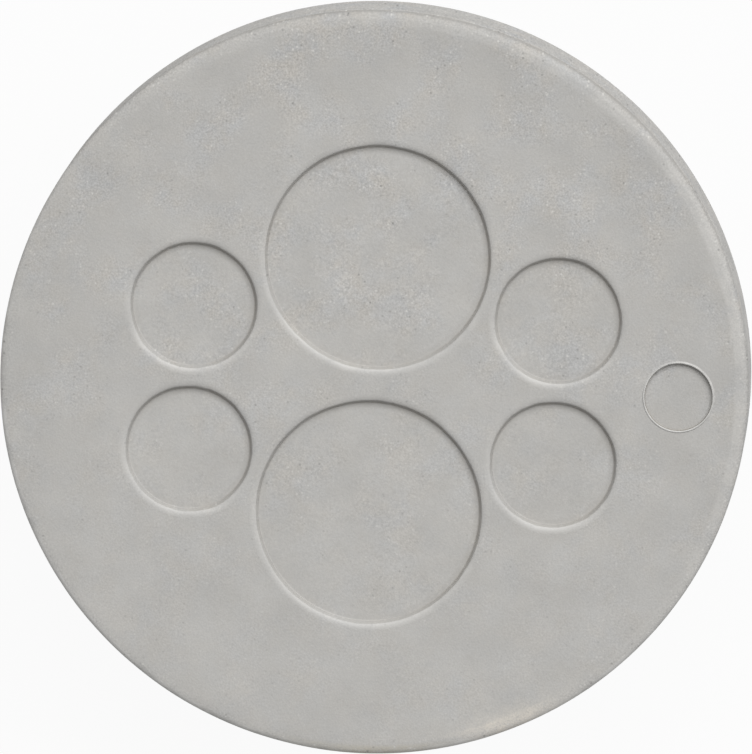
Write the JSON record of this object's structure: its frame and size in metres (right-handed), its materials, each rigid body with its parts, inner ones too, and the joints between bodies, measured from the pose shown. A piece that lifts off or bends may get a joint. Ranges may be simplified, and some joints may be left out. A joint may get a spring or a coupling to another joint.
{
  "type": "cable entry plate",
  "caption": "Round snap-in cable entry plate of grey elastomer: a flat flanged front with recessed membranes, a groove for the panel's edge, and blind ducts behind.",
  "frame": {"origin": "centre of the back face, which the plate stands on", "axes": "+Z out of the front face, +Y across the two large membranes, +X towards the round insert mark near the rim"},
  "size_m": [0.032, 0.032, 0.0131],
  "materials": {
    "elastomer": "matt light grey moulded elastomer, finely spark-eroded grain"
  },
  "bodies": {
    "root": {"entry_plate": "elastomer"}
  },
  "joints": []
}
